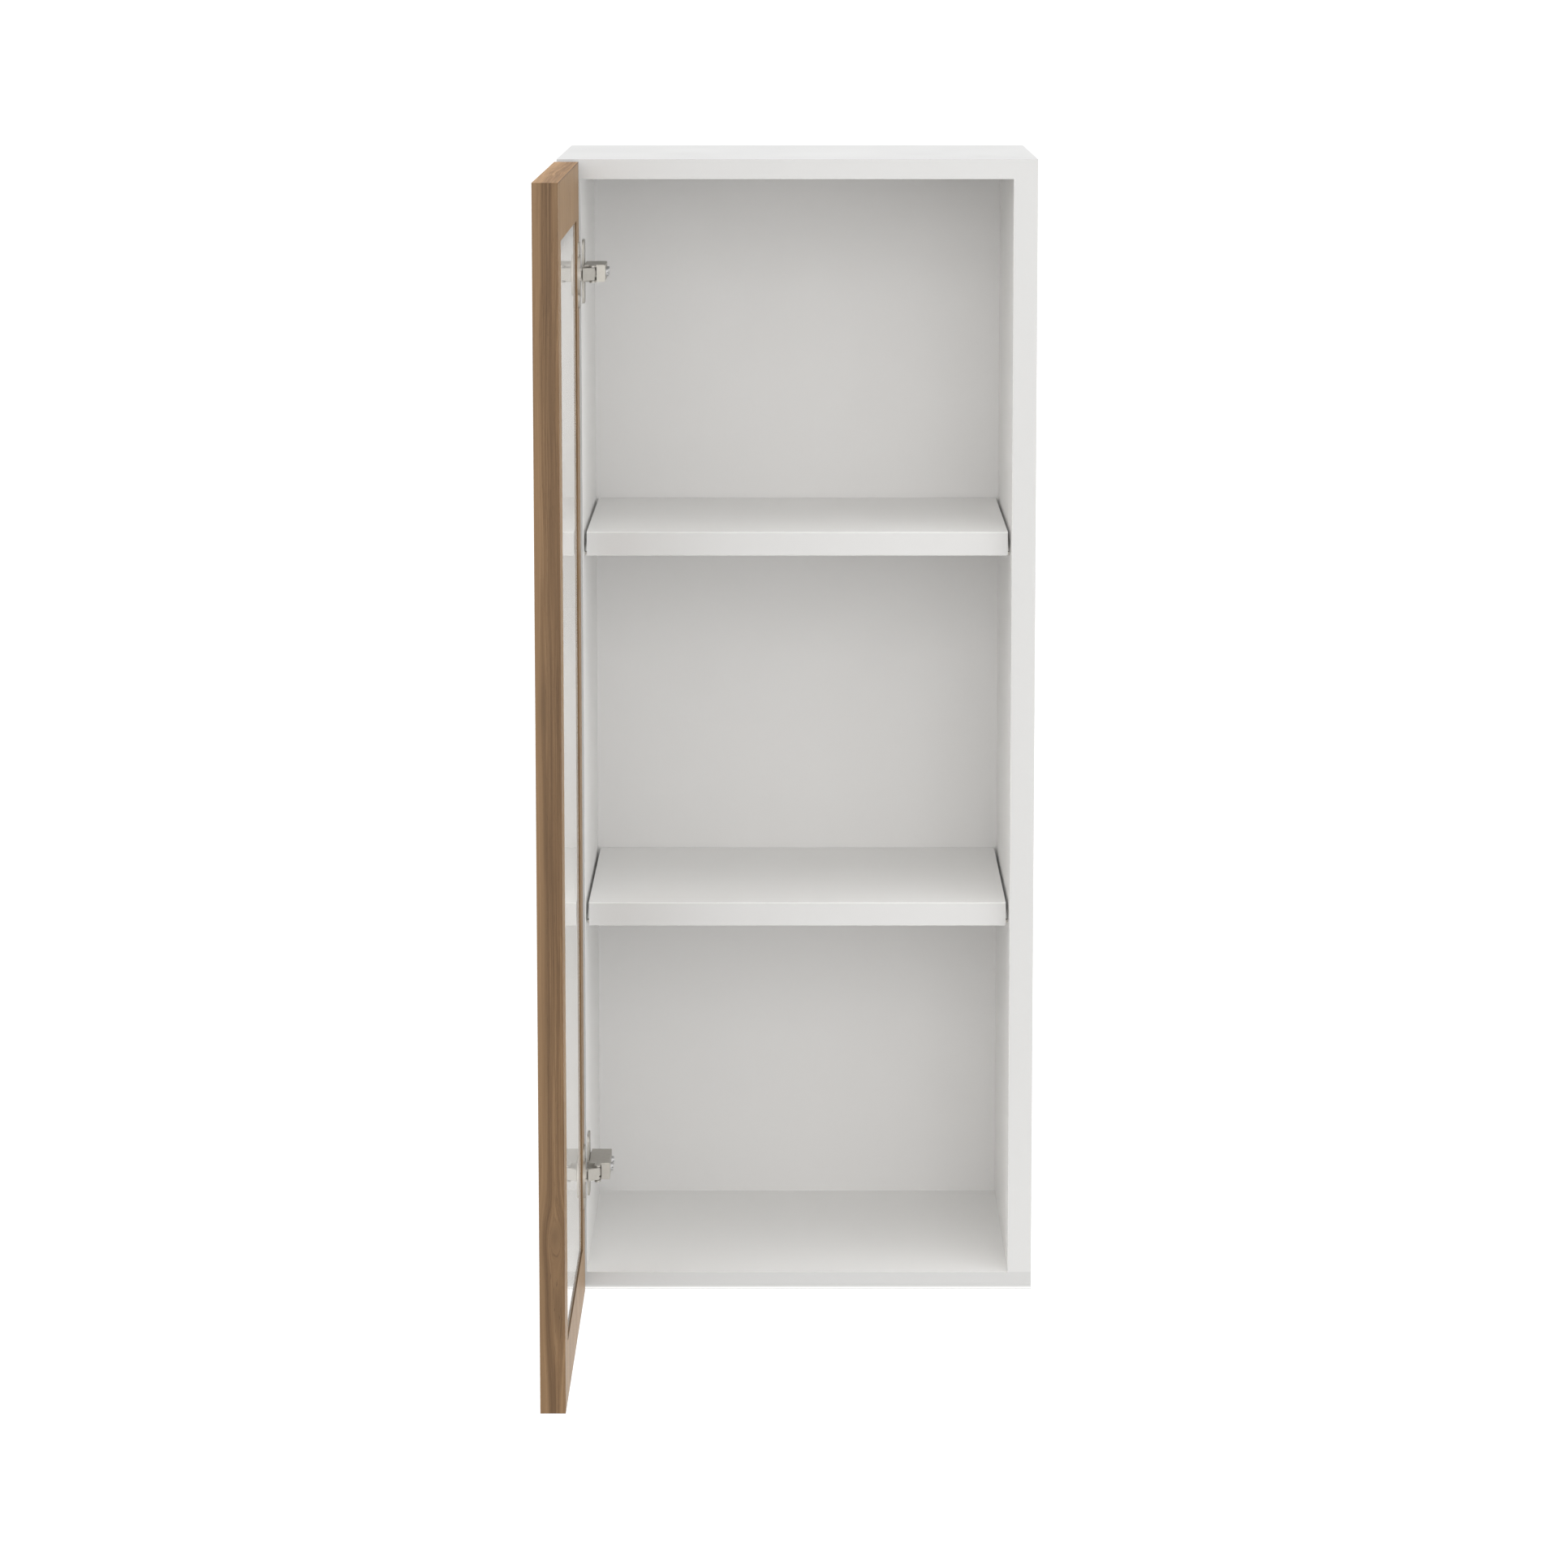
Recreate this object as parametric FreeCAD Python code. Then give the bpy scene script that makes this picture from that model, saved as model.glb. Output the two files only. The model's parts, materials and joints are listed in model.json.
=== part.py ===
import FreeCAD, Part

import math
import os

from FreeCAD import Vector

# Hanging wall cabinet with two loose shelves and a glazed door on two cup hinges.
# Millimetres. The wall is the plane Y = 0, the room is towards -Y, and +Z is up.
# The origin lies midway between the two hanger keyholes, on the wall plane.
# The door is drawn at rest, standing open at a right angle to the front.

# Carcass
WIDTH = 440.0
HEIGHT = 1060.0
DEPTH = 345.0
SIDE_THICKNESS = 22.0
DECK_THICKNESS = 18.0
BOTTOM_ROUNDING = 7.0
TOP_ABOVE_HANGERS = 60.0

# Back board in its rebate
BACK_THICKNESS = 3.0
REBATE_DEPTH = 5.0
REBATE_WIDTH = 6.0
BACK_EDGE_GAP = 0.5

# Shelves and their pins
SHELF_THICKNESS = 22.0
SHELF_END_GAP = 2.75
SHELF_SETBACK = 25.0
SHELF_BACK_GAP = 0.5
SHELF_EDGE_ROUNDING = 1.0
PIN_RADIUS = 2.5
PIN_DEPTH = 9.0
PIN_TONGUE = (9.0, 8.0, 2.5)
PIN_Y_PLACES = (-285.0, -60.0)

# Dowels and nails
DOWEL_RADIUS = 4.0
DOWEL_IN_DECK = 12.0
DOWEL_IN_SIDE = 18.0
DOWEL_Y_PLACES = (-300.0, -172.0, -50.0)
NAIL_RADIUS = 0.7
NAIL_HEAD_RADIUS = 1.6
NAIL_HEAD_THICKNESS = 0.6
NAIL_LENGTH = 18.0
NAILS_PER_SIDE = 7
NAILS_PER_DECK = 3

# Keyhole hanger plates, let into the side boards' rear edges
HANGER_PLATE = (13.0, 46.0, 2.0)
HANGER_FROM_OUTSIDE = 9.0
HANGER_LOW_END = -19.0
KEYHOLE_ENTRY_RADIUS = 4.5
KEYHOLE_SLOT_RADIUS = 2.25
KEYHOLE_RISE = 12.0
HANGER_POCKET = (10.0, 24.0, 12.0)
HANGER_POCKET_LOW_END = -7.0
HANGER_SCREW_Z = (-14.0, 22.0)
HANGER_SCREW_LENGTH = 16.0
HANGER_SCREW_RADIUS = 1.4
HANGER_SCREW_HEAD_RADIUS = 2.7

# Door
DOOR_THICKNESS = 22.0
DOOR_SIDE_REVEAL = 1.5
DOOR_END_REVEAL = 2.0
DOOR_GAP = 2.5
FRAME_WIDTH = 60.0
BAND_THICKNESS = 1.0
GLASS_THICKNESS = 4.0
GLASS_RECESS = 1.6
GLASS_OVERLAP = 9.0
GLASS_EDGE_GAP = 0.8
GLASS_BED = 0.3

# Hinges: the door turns about one upright axis, given from the door's own edge and face
HINGE_FROM_TOP = 104.0
HINGE_FROM_BOTTOM = 115.0
AXIS_FROM_EDGE = 6.8
AXIS_FROM_FACE = 12.1

# Hinge cup and its flange, in the door
CUP_RADIUS = 17.5
CUP_FROM_EDGE = 3.0
CUP_DEPTH = 14.5
CUP_WALL = 0.8
FLANGE_HEIGHT = 60.0
FLANGE_WIDTH = 24.0
FLANGE_THICKNESS = 1.3
FLANGE_CORNER = 7.2
FLANGE_FROM_EDGE = 4.0
CUP_LIP_HEIGHT = 2.4
CUP_LIP_RADIUS = 19.0
CUP_LIP_FROM_EDGE = 21.5
CUP_SCREW_SPACING = 45.0
CUP_SCREW_OFFSET = 4.0
CUP_SCREW_RADIUS = 1.7
CUP_SCREW_HEAD_RADIUS = 3.4
CUP_SCREW_LENGTH = 14.0
CUP_PIN_FROM_EDGE = 8.6
CUP_PIN_FROM_FACE = 8.4
CUP_PIN_INSET = 0.2
LINK_PIN_RADIUS = 0.9
LINK_PIN_FIT = 0.05
SPRING_WIRE_RADIUS = 0.3
SPRING_RADIUS = 1.45
SPRING_TURNS = 3
SPRING_START = 6.4
SPRING_PITCH = 0.75

# Hinge arm and its mounting plate, on the left side board
ARM_HALF_HEIGHT = 7.8
ARM_SHEET = 1.5
ARM_RISE = 22.0
ARM_FOOT_GAP = 3.0
ARM_FRONT_Y = -344.5
ARM_REAR_Y = -283.0
ARM_NOSE_LENGTH = 8.0
ARM_FOLD_RADIUS = 1.2
ARM_TIP_RADIUS = 2.9
ARM_TIP_ROOT = (-187.0, -341.0)
OUTER_ARM_PIN = (-187.2, -354.0)
INNER_ARM_PIN = (-186.9, -347.9)
PLATE_BASE = 2.0
PLATE_HALF_HEIGHT = 29.0
PLATE_Y_RANGE = (-325.0, -293.0)
PLATE_CORNER = 6.0
PLATE_SCREW_Y = -308.0
PLATE_SCREW_SPACING = 32.0
PLATE_SCREW_RADIUS = 2.5
PLATE_SCREW_HEAD_RADIUS = 4.0
PLATE_SCREW_LENGTH = 13.0
RIDGE_HALF_HEIGHT = 5.5
RIDGE_RISE = 12.0
RIDGE_Y_RANGE = (-330.0, -286.0)
FIXING_SCREW_Y = -298.0
ADJUSTING_SCREW_Y = -324.0
ARM_SCREW_RADIUS = 2.5
ARM_SCREW_HEAD_RADIUS = 3.8
ARM_SCREW_HEAD = 2.4
ARM_SCREW_RECESS_WIDTH = 1.0
FIXING_SCREW_BITE = 3.0

# Hinge links, each bent to reach over the door's edge into the cup
LINK_HALF_SHEET = 1.4
LINK_EYE_RADIUS = 2.4
LINK_END_RADIUS = 2.2
OUTER_LINK_BEND = (-198.5, -362.6)
INNER_LINK_BEND = (-198.2, -361.9)
OUTER_SLOT_REACH = (-1.0, 1.0)
INNER_SLOT_REACH = (-1.5, 1.2)
SLOT_HALF_WIDTH = 1.4
OUTER_CHEEKS = (3.6, 5.6)
INNER_HALF_HEIGHT = 3.2
LINK_WEB_SHARE = 0.84
LINK_WEB_OFFSET = 1.85
LINK_WEB_HALF_SHEET = 0.55

# Derived places
TOP_Z = TOP_ABOVE_HANGERS
BOTTOM_Z = TOP_Z - HEIGHT
FRONT_Y = -DEPTH
OUTER_X = WIDTH / 2
INNER_X = OUTER_X - SIDE_THICKNESS
CEILING_Z = TOP_Z - DECK_THICKNESS
FLOOR_Z = BOTTOM_Z + DECK_THICKNESS
BACK_FRONT_Y = -REBATE_DEPTH
BACK_REAR_Y = BACK_FRONT_Y + BACK_THICKNESS
SHELF_PITCH = (CEILING_Z - FLOOR_Z - 2 * SHELF_THICKNESS) / 3 + SHELF_THICKNESS
HANGER_X = OUTER_X - HANGER_FROM_OUTSIDE
PIVOT_X = -OUTER_X + DOOR_SIDE_REVEAL + AXIS_FROM_EDGE
PIVOT_Y = FRONT_Y - DOOR_GAP - AXIS_FROM_FACE
DOOR_FACE_X = PIVOT_X + AXIS_FROM_FACE
DOOR_EDGE_Y = PIVOT_Y + AXIS_FROM_EDGE
DOOR_WIDTH = WIDTH - 2 * DOOR_SIDE_REVEAL
DOOR_LOW_Z = BOTTOM_Z + DOOR_END_REVEAL
DOOR_HIGH_Z = TOP_Z - DOOR_END_REVEAL
CUP_CENTRE = CUP_FROM_EDGE + CUP_RADIUS
HINGE_HEIGHTS = {"upper": TOP_Z - HINGE_FROM_TOP, "lower": BOTTOM_Z + HINGE_FROM_BOTTOM}
ARM_TOP_X = -INNER_X + ARM_RISE
LEFTWARD = Vector(-1, 0, 0)
ROOMWARD = Vector(0, -1, 0)
WALLWARD = Vector(0, 1, 0)

# Tolerances for picking edges
SAME_PLACE = 0.01
SAME_WAY = 0.5


# Building blocks

def box(x_range, y_range, z_range):
    """A box between three pairs of coordinates."""
    lows = [min(pair) for pair in (x_range, y_range, z_range)]
    sizes = [abs(pair[1] - pair[0]) for pair in (x_range, y_range, z_range)]
    return Part.makeBox(*sizes, Vector(*lows))


def rod(radius, start, end):
    """A round rod between two points."""
    line = end - start
    return Part.makeCylinder(radius, line.Length, start, line)


def ring(outer_radius, inner_radius, start, end):
    """A tube between two points."""
    return rod(outer_radius, start, end).cut(rod(inner_radius, start, end))


def screw(shank_radius, head_radius, head_height, top, direction, length):
    """A countersunk screw whose flat head ends at top and which runs along direction."""
    head = Part.makeCone(head_radius, shank_radius, head_height, top, direction)
    shank = Part.makeCylinder(shank_radius, length, top, direction)
    return head.fuse(shank).removeSplitter()


def capsule(start, end, radius, z_low, z_high):
    """An upright slab with round ends, around the line from start to end in plan."""
    first = Vector(start[0], start[1], z_low)
    second = Vector(end[0], end[1], z_low)
    along = second - first
    rise = Vector(0, 0, z_high - z_low)
    solid = Part.makeCylinder(radius, rise.z, first)
    if along.Length > 0:
        side = Vector(-along.y, along.x, 0).normalize() * radius
        corners = [first + side, second + side, second - side, first - side]
        outline = Part.makePolygon(corners + corners[:1])
        solid = solid.fuse(Part.Face(outline).extrude(rise))
        solid = solid.fuse(Part.makeCylinder(radius, rise.z, second))
    return solid.removeSplitter()


def cut_all(solid, tools):
    """The solid with every tool taken away."""
    for tool in tools:
        solid = solid.cut(tool)
    return solid


def door_box(across, deep, z_range):
    """A box in the door: distance from the hinge edge, depth from the inner face, height."""
    x_range = (DOOR_FACE_X - deep[0], DOOR_FACE_X - deep[1])
    y_range = (DOOR_EDGE_Y - across[0], DOOR_EDGE_Y - across[1])
    return box(x_range, y_range, z_range)


def door_point(across, deep, z):
    """A point in the door, measured as in door_box."""
    return Vector(DOOR_FACE_X - deep, DOOR_EDGE_Y - across, z)


def save(node, solids):
    """Write one node's solids to its own file."""
    shape = solids[0] if len(solids) == 1 else Part.makeCompound(solids)
    for solid in solids:
        if not solid.isValid() or len(solid.Solids) != 1:
            raise ValueError(node + " has a piece that isn't one valid solid")
    shape.exportStep("parts/" + node + ".step")
    print(node, len(solids), round(sum(solid.Volume for solid in solids), 1))


# Fasteners shared by the boards and the hardware

def dowels():
    """Dowels between the side boards and the top and bottom boards."""
    made = []
    for x in (-OUTER_X + SIDE_THICKNESS / 2, OUTER_X - SIDE_THICKNESS / 2):
        for y in DOWEL_Y_PLACES:
            upper = (Vector(x, y, CEILING_Z - DOWEL_IN_SIDE), Vector(x, y, CEILING_Z + DOWEL_IN_DECK))
            lower = (Vector(x, y, FLOOR_Z - DOWEL_IN_DECK), Vector(x, y, FLOOR_Z + DOWEL_IN_SIDE))
            made.append(rod(DOWEL_RADIUS, *upper))
            made.append(rod(DOWEL_RADIUS, *lower))
    return made


def nail_places():
    """Centres of the back board's nails, along all four edges."""
    inset = REBATE_WIDTH / 2
    places = []
    for index in range(NAILS_PER_SIDE):
        z = FLOOR_Z + (index + 0.5) * (CEILING_Z - FLOOR_Z) / NAILS_PER_SIDE
        places.extend([(-INNER_X - inset, z), (INNER_X + inset, z)])
    for index in range(NAILS_PER_DECK):
        x = -INNER_X + (index + 0.5) * 2 * INNER_X / NAILS_PER_DECK
        places.extend([(x, FLOOR_Z - inset), (x, CEILING_Z + inset)])
    return places


def nails():
    """Flat-headed nails through the back board into the rebate's shoulder."""
    made = []
    for x, z in nail_places():
        seat = Vector(x, BACK_REAR_Y, z)
        shank = rod(NAIL_RADIUS, seat, seat - Vector(0, NAIL_LENGTH, 0))
        head = rod(NAIL_HEAD_RADIUS, seat, seat + Vector(0, NAIL_HEAD_THICKNESS, 0))
        made.append(shank.fuse(head).removeSplitter())
    return made


def shelf_pins(underside):
    """Four pins with flat tongues that carry one shelf."""
    tongue_length, tongue_width, tongue_height = PIN_TONGUE
    made = []
    for side in (-1, 1):
        wall = side * INNER_X
        for y in PIN_Y_PLACES:
            centre_z = underside - tongue_height / 2
            peg = rod(PIN_RADIUS, Vector(wall, y, centre_z), Vector(wall + side * PIN_DEPTH, y, centre_z))
            tongue = box(
                (wall, wall - side * tongue_length),
                (y - tongue_width / 2, y + tongue_width / 2),
                (underside - tongue_height, underside),
            )
            made.append(peg.fuse(tongue).removeSplitter())
    return made


def hanger_screws():
    """Small countersunk screws that hold the two keyhole plates."""
    made = []
    for x in (-HANGER_X, HANGER_X):
        for z in HANGER_SCREW_Z:
            top = Vector(x, 0, z)
            shape = (HANGER_SCREW_RADIUS, HANGER_SCREW_HEAD_RADIUS, HANGER_PLATE[2])
            made.append(screw(*shape, top, ROOMWARD, HANGER_SCREW_LENGTH))
    return made


def hinge_plate_screws():
    """Screws that hold the mounting plates to the left side board."""
    made = []
    seat = -INNER_X + PLATE_BASE
    for z in HINGE_HEIGHTS.values():
        for offset in (-PLATE_SCREW_SPACING / 2, PLATE_SCREW_SPACING / 2):
            top = Vector(seat, PLATE_SCREW_Y, z + offset)
            shape = (PLATE_SCREW_RADIUS, PLATE_SCREW_HEAD_RADIUS, PLATE_BASE)
            made.append(screw(*shape, top, LEFTWARD, PLATE_SCREW_LENGTH))
    return made


# Boards

def rebate_tool():
    """The space that the back board's rebate takes out of all four boards."""
    edge = INNER_X + REBATE_WIDTH
    return box((-edge, edge), (BACK_FRONT_Y, 0), (FLOOR_Z - REBATE_WIDTH, CEILING_Z + REBATE_WIDTH))


def hanger_pocket(x):
    """Recess for one keyhole plate, and the deeper pocket for a wall screw's head."""
    plate_width, plate_height, plate_thickness = HANGER_PLATE
    pocket_width, pocket_height, pocket_depth = HANGER_POCKET
    recess = box(
        (x - plate_width / 2, x + plate_width / 2),
        (-plate_thickness, 0),
        (HANGER_LOW_END, HANGER_LOW_END + plate_height),
    )
    pocket = box(
        (x - pocket_width / 2, x + pocket_width / 2),
        (-pocket_depth, 0),
        (HANGER_POCKET_LOW_END, HANGER_POCKET_LOW_END + pocket_height),
    )
    return recess.fuse(pocket)


def top_panel():
    """Full-width top board."""
    board = box((-OUTER_X, OUTER_X), (FRONT_Y, 0), (CEILING_Z, TOP_Z))
    return cut_all(board, [rebate_tool()] + dowels() + nails())


def bottom_panel():
    """Full-width bottom board with a rounded lower front edge."""
    board = box((-OUTER_X, OUTER_X), (FRONT_Y, 0), (BOTTOM_Z, FLOOR_Z))
    middle = Vector(0, FRONT_Y, BOTTOM_Z)
    edges = [edge for edge in board.Edges if edge.CenterOfMass.distanceToPoint(middle) < BOTTOM_ROUNDING]
    board = board.makeFillet(BOTTOM_ROUNDING, edges)
    return cut_all(board, [rebate_tool()] + dowels() + nails())


def side_panel(side):
    """Side board between the top and bottom boards; side is -1 on the left, 1 on the right."""
    board = box((side * INNER_X, side * OUTER_X), (FRONT_Y, 0), (FLOOR_Z, CEILING_Z))
    tools = [rebate_tool(), hanger_pocket(side * HANGER_X)] + dowels() + nails() + hanger_screws()
    for underside in shelf_undersides().values():
        tools.extend(shelf_pins(underside))
    if side < 0:
        tools.extend(hinge_plate_screws())
    return cut_all(board, tools)


def back_panel():
    """Thin back board that lies in the rebate."""
    edge_x = INNER_X + REBATE_WIDTH - BACK_EDGE_GAP
    edge_z = REBATE_WIDTH - BACK_EDGE_GAP
    board = box((-edge_x, edge_x), (BACK_FRONT_Y, BACK_REAR_Y), (FLOOR_Z - edge_z, CEILING_Z + edge_z))
    return cut_all(board, nails())


def shelf_undersides():
    """Heights of the two shelves' undersides, for three equal compartments."""
    lower = FLOOR_Z + SHELF_PITCH - SHELF_THICKNESS
    return {"lower": lower, "upper": lower + SHELF_PITCH}


def shelf(underside):
    """Loose shelf with a small gap at each end and slightly rounded front edges."""
    edge_x = INNER_X - SHELF_END_GAP
    front = FRONT_Y + SHELF_SETBACK
    rear = BACK_FRONT_Y - SHELF_BACK_GAP
    board = box((-edge_x, edge_x), (front, rear), (underside, underside + SHELF_THICKNESS))
    edges = []
    for edge in board.Edges:
        centre = edge.CenterOfMass
        if abs(centre.y - front) < SAME_PLACE and abs(centre.x) < SAME_PLACE:
            edges.append(edge)
    return board.makeFillet(SHELF_EDGE_ROUNDING, edges)


def hanger_plate(x):
    """Steel plate with a keyhole: the wall screw's head goes in low and the slot drops onto its shank."""
    plate_width, plate_height, plate_thickness = HANGER_PLATE
    plate = box(
        (x - plate_width / 2, x + plate_width / 2),
        (-plate_thickness, 0),
        (HANGER_LOW_END, HANGER_LOW_END + plate_height),
    )
    inside = Vector(x, -plate_thickness, 0)
    rise = Vector(0, 0, KEYHOLE_RISE)
    entry = Part.makeCylinder(KEYHOLE_ENTRY_RADIUS, plate_thickness, inside, WALLWARD)
    slot_end = Part.makeCylinder(KEYHOLE_SLOT_RADIUS, plate_thickness, inside + rise, WALLWARD)
    slot = box((x - KEYHOLE_SLOT_RADIUS, x + KEYHOLE_SLOT_RADIUS), (-plate_thickness, 0), (0, KEYHOLE_RISE))
    return cut_all(plate, [entry, slot_end, slot] + hanger_screws())


# Hinge hardware on the left side board

def hinge_plate(z):
    """Mounting plate: a winged base and the ridge that the arm slides over."""
    seat = -INNER_X
    base = box((seat, seat + PLATE_BASE), PLATE_Y_RANGE, (z - PLATE_HALF_HEIGHT, z + PLATE_HALF_HEIGHT))
    corners = [edge for edge in base.Edges if abs(edge.Curve.Direction.x) > SAME_WAY]
    base = base.makeFillet(PLATE_CORNER, corners)
    ridge = box((seat, seat + RIDGE_RISE), RIDGE_Y_RANGE, (z - RIDGE_HALF_HEIGHT, z + RIDGE_HALF_HEIGHT))
    tools = hinge_plate_screws() + arm_screws("fixing") + arm_screws("adjusting")
    return cut_all(base.fuse(ridge).removeSplitter(), tools)


def arm_screws(kind):
    """Screws in the arms' outer walls: fixing screws bite into the ridge, adjusting ones rest on it."""
    y = FIXING_SCREW_Y if kind == "fixing" else ADJUSTING_SCREW_Y
    depth = FIXING_SCREW_BITE if kind == "fixing" else 0.0
    made = []
    for z in HINGE_HEIGHTS.values():
        surface = Vector(ARM_TOP_X, y, z)
        end = Vector(-INNER_X + RIDGE_RISE - depth, y, z)
        head = rod(ARM_SCREW_HEAD_RADIUS, surface, surface + Vector(ARM_SCREW_HEAD, 0, 0))
        recess = box(
            (ARM_TOP_X + ARM_SCREW_HEAD / 2, ARM_TOP_X + ARM_SCREW_HEAD),
            (y - ARM_SCREW_HEAD_RADIUS, y + ARM_SCREW_HEAD_RADIUS),
            (z - ARM_SCREW_RECESS_WIDTH / 2, z + ARM_SCREW_RECESS_WIDTH / 2),
        )
        shank = rod(ARM_SCREW_RADIUS, surface, end)
        made.append(head.cut(recess).fuse(shank).removeSplitter())
    return made


def arm_pins(z):
    """The two link pins that cross one arm's tip."""
    made = []
    for x, y in (OUTER_ARM_PIN, INNER_ARM_PIN):
        low = Vector(x, y, z - ARM_HALF_HEIGHT)
        made.append(rod(LINK_PIN_RADIUS, low, Vector(x, y, z + ARM_HALF_HEIGHT)))
    return made


def hinge_arm(z):
    """Folded sheet arm: two cheeks, an outer wall, a nose, and a narrow tip that carries the pins."""
    foot_x = -INNER_X + ARM_FOOT_GAP
    inner_half = ARM_HALF_HEIGHT - ARM_SHEET
    height = (z - ARM_HALF_HEIGHT, z + ARM_HALF_HEIGHT)
    wall = box((ARM_TOP_X - ARM_SHEET, ARM_TOP_X), (ARM_FRONT_Y, ARM_REAR_Y), height)
    nose = box((ARM_TOP_X - ARM_NOSE_LENGTH, ARM_TOP_X), (ARM_FRONT_Y, ARM_FRONT_Y + ARM_SHEET), height)
    arm = wall.fuse(nose)
    for low in (z - ARM_HALF_HEIGHT, z + inner_half):
        high = low + ARM_SHEET
        arm = arm.fuse(box((foot_x, ARM_TOP_X), (ARM_FRONT_Y, ARM_REAR_Y), (low, high)))
        arm = arm.fuse(capsule(ARM_TIP_ROOT, OUTER_ARM_PIN, ARM_TIP_RADIUS, low, high))
    arm = arm.removeSplitter()
    fold_edges = []
    for edge in arm.Edges:
        centre = edge.CenterOfMass
        on_wall = abs(centre.x - ARM_TOP_X) < SAME_PLACE
        on_fold = on_wall and abs(abs(centre.z - z) - ARM_HALF_HEIGHT) < SAME_PLACE
        if on_fold and edge.Length > ARM_NOSE_LENGTH:
            fold_edges.append(edge)
    arm = arm.makeFillet(ARM_FOLD_RADIUS, fold_edges)
    return cut_all(arm, arm_pins(z) + arm_screws("fixing") + arm_screws("adjusting"))


# Hinge links

def cup_pin_place():
    """The cup pin's place in plan."""
    centre = door_point(CUP_PIN_FROM_EDGE, CUP_PIN_FROM_FACE, 0)
    return (centre.x, centre.y)


def link_slot(arm_pin, reach):
    """Two ends of a link's slot, along the line from its arm pin to the cup pin."""
    x, y = cup_pin_place()
    length = math.hypot(x - arm_pin[0], y - arm_pin[1])
    direction = ((x - arm_pin[0]) / length, (y - arm_pin[1]) / length)
    return [(x + direction[0] * step, y + direction[1] * step) for step in reach]


def link_plate(arm_pin, bend, reach, z_low, z_high):
    """One bent plate with an eye for the arm's pin and a slot for the cup's pin."""
    slot_start, slot_end = link_slot(arm_pin, reach)
    plate = capsule(arm_pin, arm_pin, LINK_EYE_RADIUS, z_low, z_high)
    plate = plate.fuse(capsule(arm_pin, bend, LINK_HALF_SHEET, z_low, z_high))
    plate = plate.fuse(capsule(bend, slot_start, LINK_HALF_SHEET, z_low, z_high))
    plate = plate.fuse(capsule(slot_start, slot_end, LINK_END_RADIUS, z_low, z_high))
    eye = capsule(arm_pin, arm_pin, LINK_PIN_RADIUS + LINK_PIN_FIT, z_low, z_high)
    slot = capsule(slot_start, slot_end, SLOT_HALF_WIDTH, z_low, z_high)
    return plate.removeSplitter().cut(eye).cut(slot)


def outer_link(z):
    """Outer link: two cheek plates joined by a web on the side that faces the room."""
    cheek_low, cheek_high = OUTER_CHEEKS
    run = Vector(OUTER_LINK_BEND[0] - OUTER_ARM_PIN[0], OUTER_LINK_BEND[1] - OUTER_ARM_PIN[1], 0)
    outward = Vector(-run.y, run.x, 0).normalize() * LINK_WEB_OFFSET
    web_start = Vector(OUTER_ARM_PIN[0], OUTER_ARM_PIN[1], 0) + outward
    web_end = web_start + run * LINK_WEB_SHARE
    link = capsule(web_start, web_end, LINK_WEB_HALF_SHEET, z - cheek_high, z + cheek_high)
    bore_radius = LINK_PIN_RADIUS + LINK_PIN_FIT
    bore = capsule(OUTER_ARM_PIN, OUTER_ARM_PIN, bore_radius, z - cheek_high, z + cheek_high)
    for low, high in ((z - cheek_high, z - cheek_low), (z + cheek_low, z + cheek_high)):
        link = link.fuse(link_plate(OUTER_ARM_PIN, OUTER_LINK_BEND, OUTER_SLOT_REACH, low, high))
    return link.removeSplitter().cut(bore)


def inner_link(z):
    """Inner link: one thicker plate between the outer link's cheeks."""
    low = z - INNER_HALF_HEIGHT
    return link_plate(INNER_ARM_PIN, INNER_LINK_BEND, INNER_SLOT_REACH, low, z + INNER_HALF_HEIGHT)


# Door

def door_window(depth):
    """The window's opening, from the inner face down to a depth."""
    across = (FRAME_WIDTH, DOOR_WIDTH - FRAME_WIDTH)
    return door_box(across, (0, depth), (DOOR_LOW_Z + FRAME_WIDTH, DOOR_HIGH_Z - FRAME_WIDTH))


def glass_rebate():
    """The space let into the door's inner face for the pane."""
    reach = FRAME_WIDTH - GLASS_OVERLAP
    return door_box(
        (reach, DOOR_WIDTH - reach),
        (0, GLASS_RECESS + GLASS_THICKNESS + GLASS_BED),
        (DOOR_LOW_Z + reach, DOOR_HIGH_Z - reach),
    )


def cup_bore(z):
    """The round bore that a hinge cup sits in."""
    mouth = door_point(CUP_CENTRE, 0, z)
    return rod(CUP_RADIUS, mouth, door_point(CUP_CENTRE, CUP_DEPTH, z))


def cup_screws():
    """Screws at the two ends of each cup's flange."""
    made = []
    for z in HINGE_HEIGHTS.values():
        for offset in (-CUP_SCREW_SPACING / 2, CUP_SCREW_SPACING / 2):
            top = door_point(CUP_CENTRE + CUP_SCREW_OFFSET, -FLANGE_THICKNESS, z + offset)
            shape = (CUP_SCREW_RADIUS, CUP_SCREW_HEAD_RADIUS, FLANGE_THICKNESS)
            made.append(screw(*shape, top, LEFTWARD, CUP_SCREW_LENGTH))
    return made


def door_frame():
    """One board with a window cut through it and a rebate for the pane."""
    board = door_box(
        (BAND_THICKNESS, DOOR_WIDTH - BAND_THICKNESS),
        (0, DOOR_THICKNESS),
        (DOOR_LOW_Z + BAND_THICKNESS, DOOR_HIGH_Z - BAND_THICKNESS),
    )
    bores = [cup_bore(z) for z in HINGE_HEIGHTS.values()]
    return cut_all(board, [door_window(DOOR_THICKNESS), glass_rebate()] + bores + cup_screws())


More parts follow.
